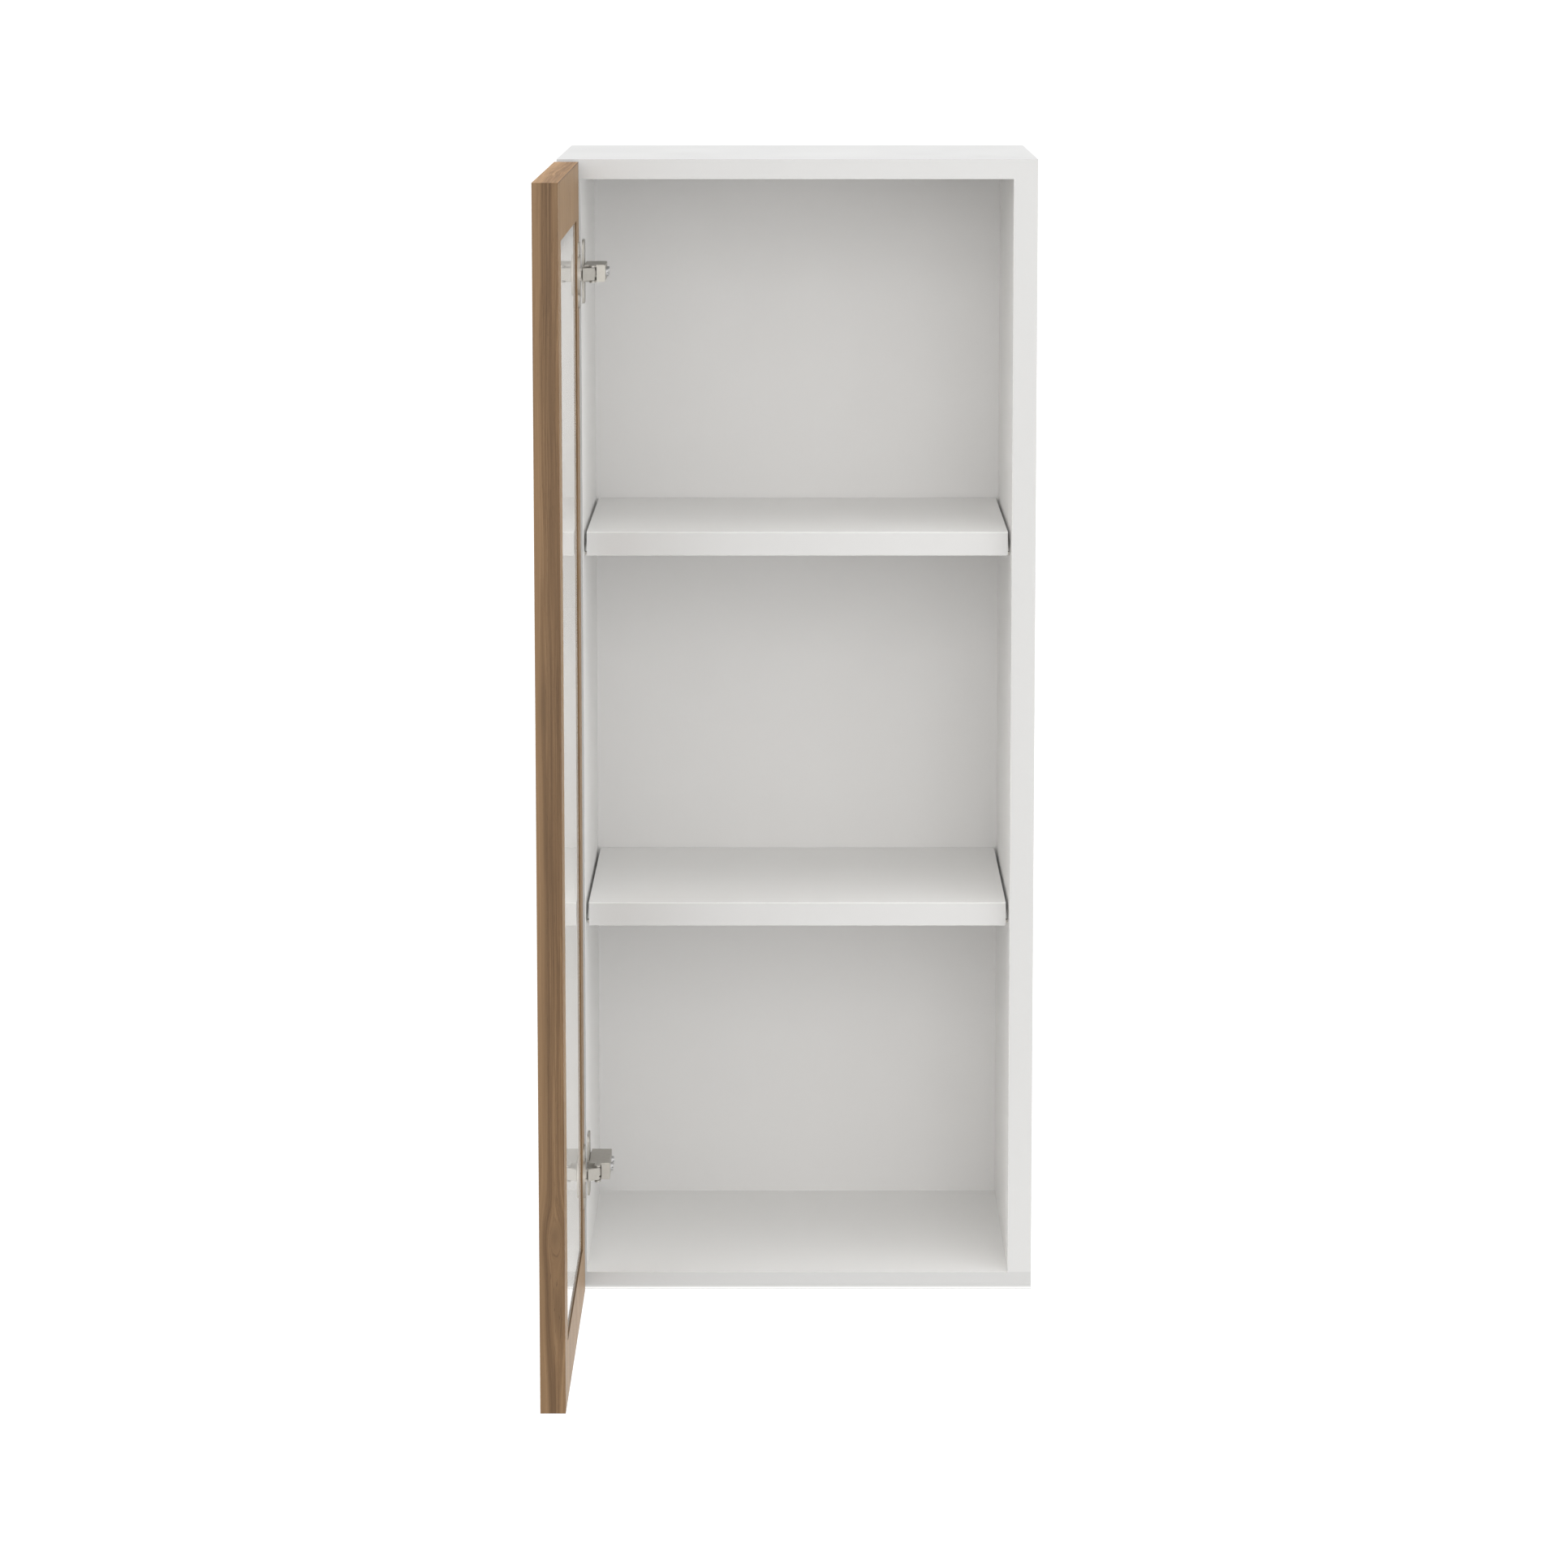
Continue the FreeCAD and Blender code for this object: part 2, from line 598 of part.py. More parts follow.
def door_edge_bands():
    """Thin bands on the board's four outer edges; the upright ones run the full height."""
    full_height = (DOOR_LOW_Z, DOOR_HIGH_Z)
    thickness = (0, DOOR_THICKNESS)
    between = (BAND_THICKNESS, DOOR_WIDTH - BAND_THICKNESS)
    return [
        door_box((0, BAND_THICKNESS), thickness, full_height),
        door_box((DOOR_WIDTH - BAND_THICKNESS, DOOR_WIDTH), thickness, full_height),
        door_box(between, thickness, (DOOR_LOW_Z, DOOR_LOW_Z + BAND_THICKNESS)),
        door_box(between, thickness, (DOOR_HIGH_Z - BAND_THICKNESS, DOOR_HIGH_Z)),
    ]


def door_glass():
    """Clear pane, set a little below the door's inner face."""
    reach = FRAME_WIDTH - GLASS_OVERLAP + GLASS_EDGE_GAP
    return door_box(
        (reach, DOOR_WIDTH - reach),
        (GLASS_RECESS, GLASS_RECESS + GLASS_THICKNESS),
        (DOOR_LOW_Z + reach, DOOR_HIGH_Z - reach),
    )


def glass_bead():
    """Clear sealant that fills the gap around the pane's edge and the bed under its rim."""
    floor_depth = GLASS_RECESS + GLASS_THICKNESS + GLASS_BED
    filled = glass_rebate().cut(door_glass())
    above = door_box((0, DOOR_WIDTH), (0, GLASS_RECESS), (DOOR_LOW_Z, DOOR_HIGH_Z))
    return filled.cut(above).cut(door_window(floor_depth))


def hinge_cup(z):
    """Pressed cup with a flange on the door's face and a raised lip on the side away from the edge."""
    mouth = door_point(CUP_CENTRE, 0, z)
    bottom = door_point(CUP_CENTRE, CUP_DEPTH, z)
    inner_bottom = door_point(CUP_CENTRE, CUP_DEPTH - CUP_WALL, z)
    outward = Vector(FLANGE_THICKNESS, 0, 0)
    flange = door_box(
        (FLANGE_FROM_EDGE, FLANGE_FROM_EDGE + FLANGE_WIDTH),
        (-FLANGE_THICKNESS, 0),
        (z - FLANGE_HEIGHT / 2, z + FLANGE_HEIGHT / 2),
    )
    corners = [edge for edge in flange.Edges if abs(edge.Curve.Direction.x) > SAME_WAY]
    flange = flange.makeFillet(FLANGE_CORNER, corners)
    rim = rod(CUP_RADIUS, mouth, mouth + outward)
    lip_top = mouth + Vector(CUP_LIP_HEIGHT, 0, 0)
    lip = ring(CUP_LIP_RADIUS, CUP_RADIUS - CUP_WALL, mouth, lip_top)
    lip_side = door_box(
        (CUP_LIP_FROM_EDGE, CUP_LIP_FROM_EDGE + CUP_LIP_RADIUS),
        (-CUP_LIP_HEIGHT, 0),
        (z - CUP_LIP_RADIUS, z + CUP_LIP_RADIUS),
    )
    body = rod(CUP_RADIUS, mouth, bottom).fuse(flange).fuse(rim).fuse(lip.common(lip_side))
    hollow = rod(CUP_RADIUS - CUP_WALL, mouth + outward, inner_bottom)
    return cut_all(body.removeSplitter(), [hollow, cup_pin(z)] + cup_screws())


def cup_pin(z):
    """The link pin that crosses one cup; its ends follow the cup's round wall."""
    low = door_point(CUP_PIN_FROM_EDGE, CUP_PIN_FROM_FACE, z - CUP_RADIUS)
    high = door_point(CUP_PIN_FROM_EDGE, CUP_PIN_FROM_FACE, z + CUP_RADIUS)
    mouth = door_point(CUP_CENTRE, 0, z)
    inside = rod(CUP_RADIUS - CUP_PIN_INSET, mouth, door_point(CUP_CENTRE, CUP_DEPTH, z))
    return rod(LINK_PIN_RADIUS, low, high).common(inside)


def hinge_springs():
    """Closing springs, wound around the cup pins at both sides of the links."""
    x, y = cup_pin_place()
    height = SPRING_TURNS * SPRING_PITCH
    made = []
    for z in HINGE_HEIGHTS.values():
        for low in (z + SPRING_START, z - SPRING_START - height):
            helix = Part.makeHelix(SPRING_PITCH, height, SPRING_RADIUS)
            start = Part.Circle(Vector(SPRING_RADIUS, 0, 0), Vector(0, 1, 0), SPRING_WIRE_RADIUS)
            section = Part.Wire([start.toShape()])
            coil = Part.Wire(helix).makePipeShell([section], True, True)
            coil.translate(Vector(x, y, low))
            made.append(coil.Solids[0] if coil.Solids else Part.Solid(coil.Shells[0]))
    return made


def main():
    os.makedirs("parts", exist_ok=True)
    save("top_panel", [top_panel()])
    save("bottom_panel", [bottom_panel()])
    save("side_panel_left", [side_panel(-1)])
    save("side_panel_right", [side_panel(1)])
    save("back_panel", [back_panel()])
    for name, underside in shelf_undersides().items():
        save("shelf_" + name, [shelf(underside)])
        save("shelf_pins_" + name, shelf_pins(underside))
    save("corner_dowels", dowels())
    save("back_panel_nails", nails())
    save("hanger_plate_left", [hanger_plate(-HANGER_X)])
    save("hanger_plate_right", [hanger_plate(HANGER_X)])
    save("hanger_plate_screws", hanger_screws())
    save("hinge_plate_screws", hinge_plate_screws())
    save("arm_fixing_screws", arm_screws("fixing"))
    save("arm_adjusting_screws", arm_screws("adjusting"))
    save("arm_pivot_pins", [pin for z in HINGE_HEIGHTS.values() for pin in arm_pins(z)])
    for name, z in HINGE_HEIGHTS.items():
        save("hinge_plate_" + name, [hinge_plate(z)])
        save("hinge_arm_" + name, [hinge_arm(z)])
        save("outer_link_" + name, [outer_link(z)])
        save("inner_link_" + name, [inner_link(z)])
        save("hinge_cup_" + name, [hinge_cup(z)])
    save("cup_screws", cup_screws())
    save("cup_pivot_pins", [cup_pin(z) for z in HINGE_HEIGHTS.values()])
    save("hinge_springs", hinge_springs())
    save("door_frame", [door_frame()])
    save("door_edge_bands", door_edge_bands())
    save("door_glass", [door_glass()])
    save("glass_bead", [glass_bead()])


main()
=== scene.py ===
import json
import math

import bpy
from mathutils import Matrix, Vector


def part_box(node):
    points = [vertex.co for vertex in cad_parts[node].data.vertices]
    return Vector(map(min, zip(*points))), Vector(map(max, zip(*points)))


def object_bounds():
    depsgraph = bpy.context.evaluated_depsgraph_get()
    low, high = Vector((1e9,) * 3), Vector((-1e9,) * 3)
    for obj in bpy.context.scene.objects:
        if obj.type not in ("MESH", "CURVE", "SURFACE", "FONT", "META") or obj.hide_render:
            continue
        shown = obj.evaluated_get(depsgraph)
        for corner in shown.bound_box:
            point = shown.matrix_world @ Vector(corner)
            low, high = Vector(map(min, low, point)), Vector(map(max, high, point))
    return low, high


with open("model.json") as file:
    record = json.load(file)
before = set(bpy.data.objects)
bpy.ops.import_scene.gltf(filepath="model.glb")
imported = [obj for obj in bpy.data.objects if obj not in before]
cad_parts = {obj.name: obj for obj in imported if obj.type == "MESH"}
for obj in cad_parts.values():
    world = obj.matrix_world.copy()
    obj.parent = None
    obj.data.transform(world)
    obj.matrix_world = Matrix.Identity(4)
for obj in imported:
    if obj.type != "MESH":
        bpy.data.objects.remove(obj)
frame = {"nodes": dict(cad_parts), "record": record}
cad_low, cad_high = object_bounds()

MM = 0.001
NODES = frame["nodes"]

# Camera: a long lens a little above the cabinet, on its centre line, tipped down
CAMERA_TO_FRONT = 5.047
CAMERA_ABOVE_TOP = 0.199
CAMERA_PITCH = math.radians(8.742)
LENS = 126.2
SENSOR = 36.0
SIDEWAYS_SHIFT = -0.00847
CAMERA_REACH = 2000.0

# Studio
FLOOR_BELOW = 1.4
FLOOR_SIZE = 900.0
WORLD_COLOUR = (1.0, 1.0, 1.0)
WORLD_BASE = 0.29
WORLD_OVERHEAD = 1.52
WORLD_FRONT = 1.30
WORLD_FOCUS = 2.0
WORLD_SEEN = 1.0
FRONT_LIGHT_PLACE = (-0.05, -5.6, 1.2)
FRONT_LIGHT_SIZE = (3.0, 2.4)
FRONT_LIGHT_POWER = 42.0
FLOOR_COLOUR = (0.98, 0.98, 0.98)
FLOOR_DARK = (0.965, 0.965, 0.965)
FLOOR_CLOUDS = 0.6

# Whites of the boards. Apart from the face and back whites these are painted shade, set by the side a
# surface faces: greyer front edges, a dark underside, greyer back and outer side faces, and a darker top
# panel
WHITE_FACE = (0.95, 0.945, 0.93)
WHITE_TOP_PAINTED_SHADE = (0.775, 0.775, 0.770)
WHITE_BACK = (0.80, 0.79, 0.778)
WHITE_EDGE_PAINTED_SHADE = (0.552, 0.549, 0.540)
WHITE_SHELF_EDGE_PAINTED_SHADE = (0.580, 0.576, 0.566)
WHITE_BOTTOM_EDGE_PAINTED_SHADE = (0.495, 0.492, 0.484)
WHITE_UNDERSIDE_PAINTED_SHADE = (0.34, 0.338, 0.332)
WHITE_OUTSIDE_PAINTED_SHADE = (0.66, 0.658, 0.65)

# Tones of the wood-look foil: pale, middle and dark
EDGE_TONES = ((0.238, 0.145, 0.072), (0.158, 0.090, 0.041), (0.085, 0.045, 0.019))
FACE_TONES = ((0.262, 0.165, 0.082), (0.205, 0.124, 0.058), (0.125, 0.071, 0.031))
# Painted light: how much brighter the door's inner face and the edge band's top end are painted
INNER_FACE_PAINTED_LIGHT = 1.75
TOP_END_PAINTED_LIGHT = 2.6

# Faint sheen of dust on the pane
GLASS_DUST = 0.42

# Noise scales, in cells per metre; the wood's are across, through and along the grain
LACQUER_DRIFT = 3.0
LACQUER_SPECKS = 900.0
LACQUER_PEEL = 420.0
LACQUER_SMUDGES = 14.0
GRAIN_SWAY = (14.0, 14.0, 3.2)
GRAIN_BANDS = (95.0, 42.0, 0.9)
GRAIN_STREAKS = (420.0, 300.0, 2.2)
GRAIN_LINES = (1300.0, 1000.0, 7.0)
GRAIN_PORES = (3600.0, 3000.0, 110.0)
GRAIN_CLOUDS = (30.0, 30.0, 9.0)
BEECH_GRAIN = (900.0, 900.0, 60.0)
METAL_BRUSH = (300.0, 300.0, 6000.0)
METAL_SPOTS = 260.0
GLASS_RIPPLE = 5.0
GLASS_HAZE = 40.0
SEALANT_CLOUDS = 300.0

# How far the grain sways, and where the outer edge's pale strip fades, in metres
SWAY_REACH = 0.0035
PALE_STRIP = (0.005, 0.009)

# Metals, sealant, dowels and dust
NICKEL = (0.49, 0.468, 0.425)
ZINC = (0.50, 0.50, 0.50)
SEALANT = (0.85, 0.80, 0.70)
BEECH_DARK = (0.42, 0.28, 0.16)
BEECH_PALE = (0.62, 0.45, 0.28)
GLASS_TINT = (0.985, 0.99, 0.98)
DUST_TINT = (1.0, 0.985, 0.95)

# Share of its brightness that the dark part of each tone keeps
FAINT_DRIFT = 0.985
SPECK_SHADE = 0.85
SPOT_SHADE = 0.82
PORE_SHADE = 0.55

# Normals: how squarely a surface faces a side before that side's painted shade or painted light starts
# and is full
FACING_START = 0.7
FACING_FULL = 0.95

# Bevels
WIDE_BEVEL = 0.3 * MM
MIDDLE_BEVEL = 0.25 * MM
NARROW_BEVEL = 0.2 * MM
BEVEL_SEGMENTS = 2
BEVEL_ANGLE = math.radians(40)


class Graph:
    """A small helper that adds nodes to one material and joins them."""

    def __init__(self, name):
        self.material = bpy.data.materials.new(name)
        self.material.use_nodes = True
        self.tree = self.material.node_tree
        self.shader = self.tree.nodes["Principled BSDF"]

    def add(self, kind, **values):
        """A node with its input values; a value that is a socket is linked."""
        node = self.tree.nodes.new("ShaderNode" + kind)
        for key, value in values.items():
            self.feed(node.inputs[key.replace("_", " ")], value)
        return node

    def feed(self, socket, value):
        """Link a socket to the input, or set the input to a plain value."""
        if isinstance(value, bpy.types.NodeSocket):
            self.tree.links.new(value, socket)
        else:
            socket.default_value = value

    def math(self, operation, *values):
        """The result of one arithmetic node."""
        node = self.tree.nodes.new("ShaderNodeMath")
        node.operation = operation
        for socket, value in zip(node.inputs, values):
            self.feed(socket, value)
        return node.outputs[0]

    def vector(self, operation, *values):
        """The result of one vector node."""
        node = self.tree.nodes.new("ShaderNodeVectorMath")
        node.operation = operation
        if operation == "SCALE":
            self.feed(node.inputs["Scale"], values[1])
            values = values[:1]
        for socket, value in zip(node.inputs, values):
            self.feed(socket, value)
        return node.outputs["Value" if operation == "DOT_PRODUCT" else "Vector"]

    def noise(self, place, scale, detail=3.0, roughness=0.5):
        """A noise value between 0 and 1."""
        node = self.add("TexNoise", Vector=place, Scale=scale, Detail=detail, Roughness=roughness)
        return node.outputs["Fac"]

    def ramp(self, value, stops):
        """A colour ramp through (position, colour) stops."""
        node = self.add("ValToRGB", Fac=value)
        elements = node.color_ramp.elements
        while len(elements) < len(stops):
            elements.new(0.5)
        for element, (position, colour) in zip(elements, stops):
            element.position = position
            element.color = (*colour, 1.0)
        return node.outputs["Color"]

    def spread(self, value, low_in, high_in, low_out, high_out):
        """The value carried from one range to another, and kept inside it."""
        ends = {"From_Min": low_in, "From_Max": high_in, "To_Min": low_out, "To_Max": high_out}
        return self.add("MapRange", Value=value, **ends).outputs["Result"]

    def blend(self, factor, first, second):
        """Two colours mixed by a factor."""
        node = self.tree.nodes.new("ShaderNodeMix")
        node.data_type = "RGBA"
        self.feed(node.inputs["Factor"], factor)
        for socket, value in ((node.inputs[6], first), (node.inputs[7], second)):
            if isinstance(value, tuple):
                value = (*value, 1.0)
            self.feed(socket, value)
        return node.outputs[2]

    def place(self):
        """Object coordinates, in metres."""
        return self.tree.nodes.new("ShaderNodeTexCoord").outputs["Object"]

    def stretch(self, place, scale):
        """Coordinates scaled separately along X, Y and Z."""
        return self.vector("MULTIPLY", place, scale)

    def bump(self, height, strength, distance):
        """Send a height to the shader's normal."""
        node = self.add("Bump", Height=height, Strength=strength, Distance=distance)
        self.feed(self.shader.inputs["Normal"], node.outputs["Normal"])

    def set(self, **values):
        """Set or link the shader's own sockets."""
        for key, value in values.items():
            if isinstance(value, tuple):
                value = (*value, 1.0)
            self.feed(self.shader.inputs[key.replace("_", " ")], value)


def shade(colour, share):
    """The colour with each channel multiplied by the share."""
    return tuple(channel * share for channel in colour)


# Materials

def facing(graph, axis, sign):
    """How squarely a surface faces along one axis: 1 when nearly straight on, 0 from 45 degrees."""
    normal = graph.tree.nodes.new("ShaderNodeTexCoord").outputs["Normal"]
    part = graph.add("SeparateXYZ", Vector=normal).outputs[axis]
    return graph.spread(graph.math("MULTIPLY", part, sign), FACING_START, FACING_FULL, 0.0, 1.0)


def white_lacquer_painted_shade(name, tint, edge_shade, under_shade, outside=None):
    """Satin white board: tone drift, orange peel and uneven gloss, with painted shade that makes
    front-facing faces, the underside and the back and outer side faces greyer.
    """
    graph = Graph(name)
    place = graph.place()
    drift = graph.noise(place, LACQUER_DRIFT, 2.0)
    speck = graph.noise(place, LACQUER_SPECKS, 2.0)
    tone = graph.ramp(drift, [(0.3, shade(tint, FAINT_DRIFT)), (0.7, tint)])
    edge = graph.ramp(drift, [(0.3, shade(edge_shade, FAINT_DRIFT)), (0.7, edge_shade)])
    # Painted shade: front-facing faces, the underside, back faces and the chosen outer side are blended
    # toward greyer tints
    tone = graph.blend(facing(graph, 1, -1.0), tone, edge)
    tone = graph.blend(facing(graph, 2, -1.0), tone, under_shade)
    tone = graph.blend(facing(graph, 1, 1.0), tone, WHITE_OUTSIDE_PAINTED_SHADE)
    if outside:
        tone = graph.blend(facing(graph, 0, outside), tone, WHITE_OUTSIDE_PAINTED_SHADE)
    tone = graph.blend(graph.spread(speck, 0.62, 0.78, 0.0, 0.05), tone, shade(tint, SPECK_SHADE))
    peel = graph.noise(place, LACQUER_PEEL, 3.0, 0.55)
    smudge = graph.noise(place, LACQUER_SMUDGES, 4.0, 0.6)
    graph.set(Base_Color=tone, Roughness=graph.spread(smudge, 0.3, 0.7, 0.36, 0.46), IOR=1.45)
    graph.bump(peel, 0.06, 0.0004)
    return graph.material


def grain_place(graph):
    """Coordinates whose Z runs along the grain: upright, but along the door's ends on top and bottom."""
    place = graph.place()
    parts = graph.add("SeparateXYZ", Vector=place).outputs
    turned = graph.add("CombineXYZ", X=parts[0], Y=parts[2], Z=parts[1]).outputs[0]
    normal = graph.tree.nodes.new("ShaderNodeTexCoord").outputs["Normal"]
    upward = graph.math("ABSOLUTE", graph.add("SeparateXYZ", Vector=normal).outputs[2])
    mixer = graph.tree.nodes.new("ShaderNodeMix")
    mixer.data_type = "VECTOR"
    graph.feed(mixer.inputs["Factor"], graph.math("GREATER_THAN", upward, FACING_START))
    graph.feed(mixer.inputs[4], place)
    graph.feed(mixer.inputs[5], turned)
    return mixer.outputs[1]


def flow_around(graph, place, knots):
    """Coordinates spread apart around each knot, and how close every point is to a knot's heart."""
    warped = place
    heart = 0.0
    for centre, width, height, swell in knots:
        away = graph.vector("SUBTRACT", place, centre)
        scaled = graph.stretch(away, (1.0 / width, 1.0 / width, 1.0 / height))
        square = graph.vector("DOT_PRODUCT", scaled, scaled)
        near = graph.math("EXPONENT", graph.math("MULTIPLY", square, -1.0))
        swelling = graph.math("MULTIPLY", near, swell)
        push = graph.add("CombineXYZ", X=swelling, Y=swelling).outputs[0]
        warped = graph.vector("SUBTRACT", warped, graph.vector("MULTIPLY", away, push))
        core = graph.math("EXPONENT", graph.math("MULTIPLY", square, -5.0))
        heart = graph.math("MAXIMUM", heart, core)
    return warped, heart


def wood_foil(name, tones, knots, inner_painted_light=1.0, top_painted_light=1.0, pale_strip=None):
    """Walnut-brown foil: broad bands, fine lines, short pores, and knots that the lines flow around.

    Painted light makes the inner face and the top end brighter than the rest.
    """
    pale, middle, dark = tones
    darkest = shade(dark, PORE_SHADE)
    graph = Graph(name)
    place = grain_place(graph)
    sway = graph.noise(graph.stretch(place, GRAIN_SWAY), 1.0, 2.0, 0.4)
    offset = graph.spread(sway, 0.25, 0.75, -SWAY_REACH, SWAY_REACH)
    flow = graph.add("CombineXYZ", X=offset, Y=offset, Z=0.0).outputs[0]
    warped, heart = flow_around(graph, graph.vector("ADD", place, flow), knots)
    broad = graph.noise(graph.stretch(warped, GRAIN_BANDS), 1.0, 3.0, 0.5)
    streak = graph.noise(graph.stretch(warped, GRAIN_STREAKS), 1.0, 3.0, 0.62)
    fine = graph.noise(graph.stretch(warped, GRAIN_LINES), 1.0, 3.0, 0.6)
    pores = graph.noise(graph.stretch(warped, GRAIN_PORES), 1.0, 2.0, 0.5)
    cloud = graph.noise(graph.stretch(place, GRAIN_CLOUDS), 1.0, 3.0)
    tone = graph.ramp(broad, [(0.32, dark), (0.50, middle), (0.66, pale)])
    lines = graph.ramp(streak, [(0.36, dark), (0.52, middle), (0.64, pale)])
    tone = graph.blend(0.5, tone, lines)
    tone = graph.blend(graph.spread(fine, 0.50, 0.64, 0.0, 0.55), tone, dark)
    tone = graph.blend(graph.spread(cloud, 0.5, 0.75, 0.0, 0.30), tone, dark)
    tone = graph.blend(graph.spread(pores, 0.60, 0.72, 0.0, 0.45), tone, darkest)
    tone = graph.blend(graph.spread(heart, 0.1, 1.0, 0.0, 0.42), tone, darkest)
    if pale_strip:
        across = graph.add("SeparateXYZ", Vector=warped).outputs[0]
        tone = graph.blend(graph.spread(across, *pale_strip, 0.45, 0.0), tone, pale)
    # Painted light: faces toward +X and upward faces are brightened by a factor
    for axis, gain in ((2, top_painted_light), (0, inner_painted_light)):
        tone = graph.vector("SCALE", tone, graph.spread(facing(graph, axis, 1.0), 0.0, 1.0, 1.0, gain))
    gloss = graph.spread(fine, 0.3, 0.7, 0.40, 0.52)
    graph.set(Base_Color=tone, Roughness=gloss, IOR=1.45, Specular_IOR_Level=0.32)
    pits = graph.spread(pores, 0.6, 0.75, 0.0, 0.6)
    graph.bump(graph.math("SUBTRACT", graph.math("MULTIPLY", streak, 0.4), pits), 0.2, 0.0002)
    return graph.material


def plated_steel(name, colour, metallic, roughness):
    """Plated pressed steel: brushed streaks, faint spots and uneven gloss."""
    graph = Graph(name)
    place = graph.place()
    brush = graph.noise(graph.stretch(place, METAL_BRUSH), 1.0, 3.0)
    spots = graph.noise(place, METAL_SPOTS, 4.0, 0.6)
    tone = graph.blend(graph.spread(spots, 0.35, 0.7, 0.0, 0.35), colour, shade(colour, SPOT_SHADE))
    rough = graph.math("ADD", graph.spread(brush, 0.3, 0.7, -0.05, 0.06), roughness)
    graph.set(Base_Color=tone, Metallic=metallic, Roughness=rough)
    graph.bump(brush, 0.12, 0.00008)
    return graph.material


def clear_glass(name):
    """Clear float glass with the faintest ripple and a faint sheen of dust."""
    graph = Graph(name)
    place = graph.place()
    ripple = graph.noise(place, GLASS_RIPPLE, 1.0)
    haze = graph.noise(place, GLASS_HAZE, 4.0, 0.6)
    graph.set(Base_Color=GLASS_TINT, IOR=1.5, Transmission_Weight=1.0)
    graph.set(Sheen_Weight=GLASS_DUST, Sheen_Roughness=0.25, Sheen_Tint=DUST_TINT)
    graph.set(Roughness=graph.spread(haze, 0.4, 0.8, 0.0, 0.004))
    graph.bump(ripple, 0.004, 0.0005)
    return graph.material


def clear_rubber(name, colour, transmission):
    """Cloudy clear sealant."""
    graph = Graph(name)
    place = graph.place()
    cloud = graph.noise(place, SEALANT_CLOUDS, 3.0)
    tone = graph.blend(graph.spread(cloud, 0.3, 0.7, 0.0, 0.3), colour, shade(colour, SPECK_SHADE))
    gloss = graph.spread(cloud, 0.3, 0.7, 0.25, 0.4)
    graph.set(Base_Color=tone, Roughness=gloss, IOR=1.42, Transmission_Weight=transmission)
    graph.bump(cloud, 0.1, 0.0002)
    return graph.material


def beech(name):
    """Plain pale dowel wood."""
    graph = Graph(name)
    place = graph.place()
    grain = graph.noise(graph.stretch(place, BEECH_GRAIN), 1.0, 4.0)
    tone = graph.ramp(grain, [(0.3, BEECH_DARK), (0.7, BEECH_PALE)])
    graph.set(Base_Color=tone, Roughness=0.6)
    graph.bump(grain, 0.3, 0.0003)
    return graph.material


def place_knots(rows, low, high):
    """Knots as heart, half width, half height and swelling; each row gives a share of the height."""
    return [(Vector((x, y, low + share * (high - low))), *size) for x, y, share, size in rows]


def make_materials():
    """One material for each slot of the record."""
    door_low, door_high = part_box("door_frame")
    free_end = door_low.y
    middle_x = (door_low.x + door_high.x) / 2
    edge_knots = place_knots([
        (middle_x + 0.002, free_end, 0.147, (0.011, 0.030, 0.95)),
        (middle_x + 0.003, free_end, 0.085, (0.010, 0.055, 0.85)),
        (middle_x - 0.004, free_end, 0.58, (0.006, 0.070, 0.45)),
    ], door_low.z, door_high.z)
    face_knots = place_knots([
        (door_high.x, free_end + 0.030, 0.33, (0.014, 0.060, 0.70)),
        (door_low.x, free_end + 0.025, 0.72, (0.014, 0.060, 0.70)),
        (door_low.x, door_high.y - 0.030, 0.25, (0.012, 0.050, 0.65)),
    ], door_low.z, door_high.z)
    pale_strip = (door_low.x + PALE_STRIP[0], door_low.x + PALE_STRIP[1])
    return {
        "white_board": white_lacquer_painted_shade("white_lacquer_painted_shade", WHITE_FACE, WHITE_EDGE_PAINTED_SHADE, WHITE_UNDERSIDE_PAINTED_SHADE),
        "back_board": white_lacquer_painted_shade("white_foil", WHITE_BACK, WHITE_BACK, WHITE_UNDERSIDE_PAINTED_SHADE),
        "door_wood": wood_foil("wood_foil", FACE_TONES, face_knots, INNER_FACE_PAINTED_LIGHT),
        "door_edge": wood_foil("wood_band", EDGE_TONES, edge_knots, 1.0, TOP_END_PAINTED_LIGHT, pale_strip),
        "clear_glass": clear_glass("clear_glass_pane"),
        "clear_sealant": clear_rubber("clear_sealant_bead", SEALANT, 0.4),
        "nickel_steel": plated_steel("nickel_plate", NICKEL, 0.7, 0.42),
        "zinc_steel": plated_steel("zinc_plate", ZINC, 0.8, 0.40),
        "dowel_wood": beech("dowel_beech"),
    }


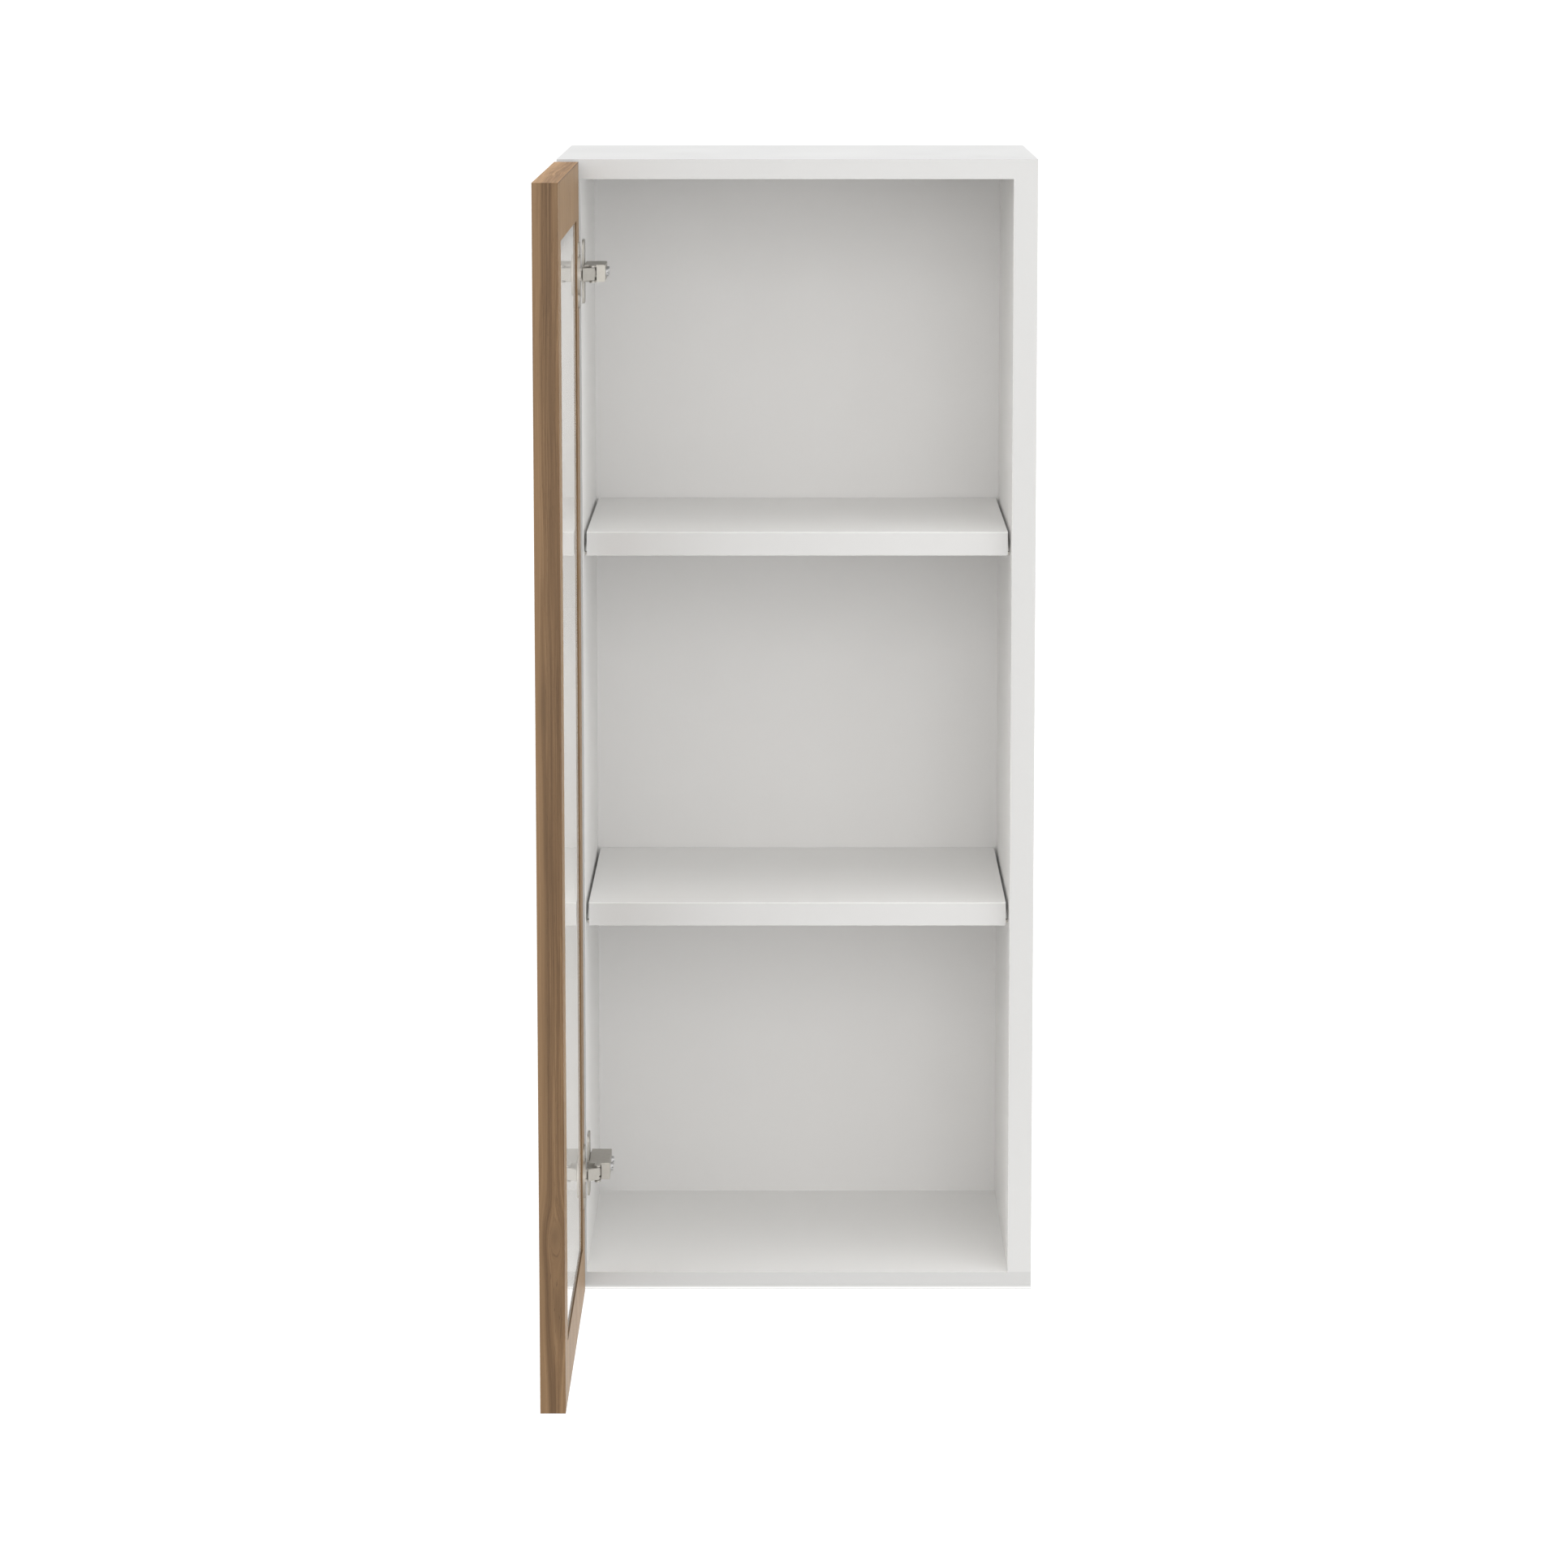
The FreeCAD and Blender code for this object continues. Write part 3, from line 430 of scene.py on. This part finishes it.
def shaded_board_copies():
    """Copies of the lacquer with painted shade of their own: a darker top panel, a darker bottom front
    edge, greyer shelf edges and greyer outer side faces.
    """
    shaded_variants = {
        "top_panel": white_lacquer_painted_shade("white_top_shaded", WHITE_TOP_PAINTED_SHADE, WHITE_EDGE_PAINTED_SHADE, WHITE_UNDERSIDE_PAINTED_SHADE),
        "bottom_panel": white_lacquer_painted_shade("white_bottom_shaded", WHITE_FACE, WHITE_BOTTOM_EDGE_PAINTED_SHADE, WHITE_UNDERSIDE_PAINTED_SHADE),
    }
    for side, outward in (("left", -1.0), ("right", 1.0)):
        lacquer = white_lacquer_painted_shade("white_side_shaded_" + side, WHITE_FACE, WHITE_EDGE_PAINTED_SHADE, WHITE_UNDERSIDE_PAINTED_SHADE, outward)
        shaded_variants["side_panel_" + side] = lacquer
    shelf_shaded_white = white_lacquer_painted_shade("white_shelf_shaded", WHITE_FACE, WHITE_SHELF_EDGE_PAINTED_SHADE, WHITE_UNDERSIDE_PAINTED_SHADE)
    for shelf in ("shelf_upper", "shelf_lower"):
        shaded_variants[shelf] = shelf_shaded_white
    return shaded_variants


def dress_nodes(materials):
    """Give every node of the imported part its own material, or its slot's."""
    shaded_variants = shaded_board_copies()
    for entry in frame["record"]["subparts"]:
        piece = NODES[entry["node"]]
        for slot in piece.material_slots:
            slot.material = shaded_variants.get(entry["node"], materials[entry["material_slot"]])


def soften_edges():
    """Narrow bevels, so that edges catch the light as real ones do."""
    widths = {
        "top_panel": WIDE_BEVEL,
        "bottom_panel": WIDE_BEVEL,
        "side_panel_left": MIDDLE_BEVEL,
        "side_panel_right": MIDDLE_BEVEL,
        "shelf_upper": WIDE_BEVEL,
        "shelf_lower": WIDE_BEVEL,
        "door_edge_bands": WIDE_BEVEL,
        "door_glass": WIDE_BEVEL,
    }
    for place in ("upper", "lower"):
        widths["hinge_arm_" + place] = MIDDLE_BEVEL
        widths["hinge_plate_" + place] = WIDE_BEVEL
        widths["hinge_cup_" + place] = NARROW_BEVEL
    for name, width in widths.items():
        bevel = NODES[name].modifiers.new("soft_edge", "BEVEL")
        bevel.width = width
        bevel.segments = BEVEL_SEGMENTS
        bevel.limit_method = "ANGLE"
        bevel.angle_limit = BEVEL_ANGLE


# Studio

def make_floor():
    """A plain pale floor, far below the hanging cabinet."""
    z = cad_low.z - FLOOR_BELOW
    half = FLOOR_SIZE / 2
    mesh = bpy.data.meshes.new("floor")
    corners = [(-half, -half, z), (half, -half, z), (half, half, z), (-half, half, z)]
    mesh.from_pydata(corners, [], [(0, 1, 2, 3)])
    floor = bpy.data.objects.new("floor", mesh)
    bpy.context.scene.collection.objects.link(floor)
    graph = Graph("pale_floor")
    mottle = graph.noise(graph.place(), FLOOR_CLOUDS, 3.0)
    graph.set(Base_Color=graph.ramp(mottle, [(0.3, FLOOR_DARK), (0.7, FLOOR_COLOUR)]), Roughness=0.9)
    mesh.materials.append(graph.material)


def world_step(tree, operation, first, second):
    """The result of one arithmetic node; each value is a socket or a number."""
    step = tree.nodes.new("ShaderNodeMath")
    step.operation = operation
    for socket, value in zip(step.inputs, (first, second)):
        if isinstance(value, bpy.types.NodeSocket):
            tree.links.new(value, socket)
        else:
            socket.default_value = value
    return step.outputs[0]


def surround_strength(tree):
    """Light from the surround: a base, and one soft lobe each overhead and in front."""
    parts = tree.nodes.new("ShaderNodeSeparateXYZ")
    tree.links.new(tree.nodes.new("ShaderNodeTexCoord").outputs["Generated"], parts.inputs[0])
    total = WORLD_BASE
    for axis, sign, gain in ((2, 1.0, WORLD_OVERHEAD), (1, -1.0, WORLD_FRONT)):
        lobe = world_step(tree, "MULTIPLY", parts.outputs[axis], sign)
        lobe = world_step(tree, "MAXIMUM", lobe, 0.0)
        lobe = world_step(tree, "POWER", lobe, WORLD_FOCUS)
        lobe = world_step(tree, "MULTIPLY", lobe, gain)
        total = world_step(tree, "ADD", lobe, total)
    return total


def studio_world():
    """A soft surround that lights the object, and looks plain white where it is seen."""
    world = bpy.data.worlds.new("studio")
    world.use_nodes = True
    tree = world.node_tree
    lighting = tree.nodes["Background"]
    lighting.inputs["Color"].default_value = (*WORLD_COLOUR, 1.0)
    tree.links.new(surround_strength(tree), lighting.inputs["Strength"])
    seen = tree.nodes.new("ShaderNodeBackground")
    seen.inputs["Color"].default_value = (*WORLD_COLOUR, 1.0)
    seen.inputs["Strength"].default_value = WORLD_SEEN
    path = tree.nodes.new("ShaderNodeLightPath").outputs
    is_seen = world_step(tree, "MAXIMUM", path["Is Camera Ray"], path["Is Transmission Ray"])
    chooser = tree.nodes.new("ShaderNodeMixShader")
    for socket, source in zip(chooser.inputs, (is_seen, lighting.outputs[0], seen.outputs[0])):
        tree.links.new(source, socket)
    tree.links.new(chooser.outputs[0], tree.nodes["World Output"].inputs["Surface"])
    bpy.context.scene.world = world


def soft_box(name, place, aim, size, power):
    """A large soft light that faces a point."""
    data = bpy.data.lights.new(name, "AREA")
    data.shape = "RECTANGLE"
    data.size, data.size_y = size
    data.energy = power
    light = bpy.data.objects.new(name, data)
    light.location = place
    light.rotation_euler = (Vector(aim) - place).to_track_quat("-Z", "Y").to_euler()
    bpy.context.scene.collection.objects.link(light)


def make_light():
    """The white surround and one large soft light in front."""
    studio_world()
    middle = (cad_low + cad_high) / 2
    place = Vector((middle.x, 0.0, middle.z)) + Vector(FRONT_LIGHT_PLACE)
    soft_box("front_light", place, (0.0, 0.0, middle.z), FRONT_LIGHT_SIZE, FRONT_LIGHT_POWER)


def make_camera():
    """A long lens on the cabinet's centre line, above it and tipped down."""
    data = bpy.data.cameras.new("camera")
    data.lens = LENS
    data.sensor_width = SENSOR
    data.shift_x = SIDEWAYS_SHIFT
    data.clip_end = CAMERA_REACH
    camera = bpy.data.objects.new("camera", data)
    top_low, top_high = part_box("top_panel")
    camera.location = (0.0, top_low.y - CAMERA_TO_FRONT, top_high.z + CAMERA_ABOVE_TOP)
    camera.rotation_euler = (math.pi / 2 - CAMERA_PITCH, 0.0, 0.0)
    bpy.context.scene.collection.objects.link(camera)
    bpy.context.scene.camera = camera


def main():
    """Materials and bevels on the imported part, then the studio around it."""
    dress_nodes(make_materials())
    soften_edges()
    make_floor()
    make_light()
    make_camera()
    bpy.context.scene.view_settings.view_transform = "Standard"


main()
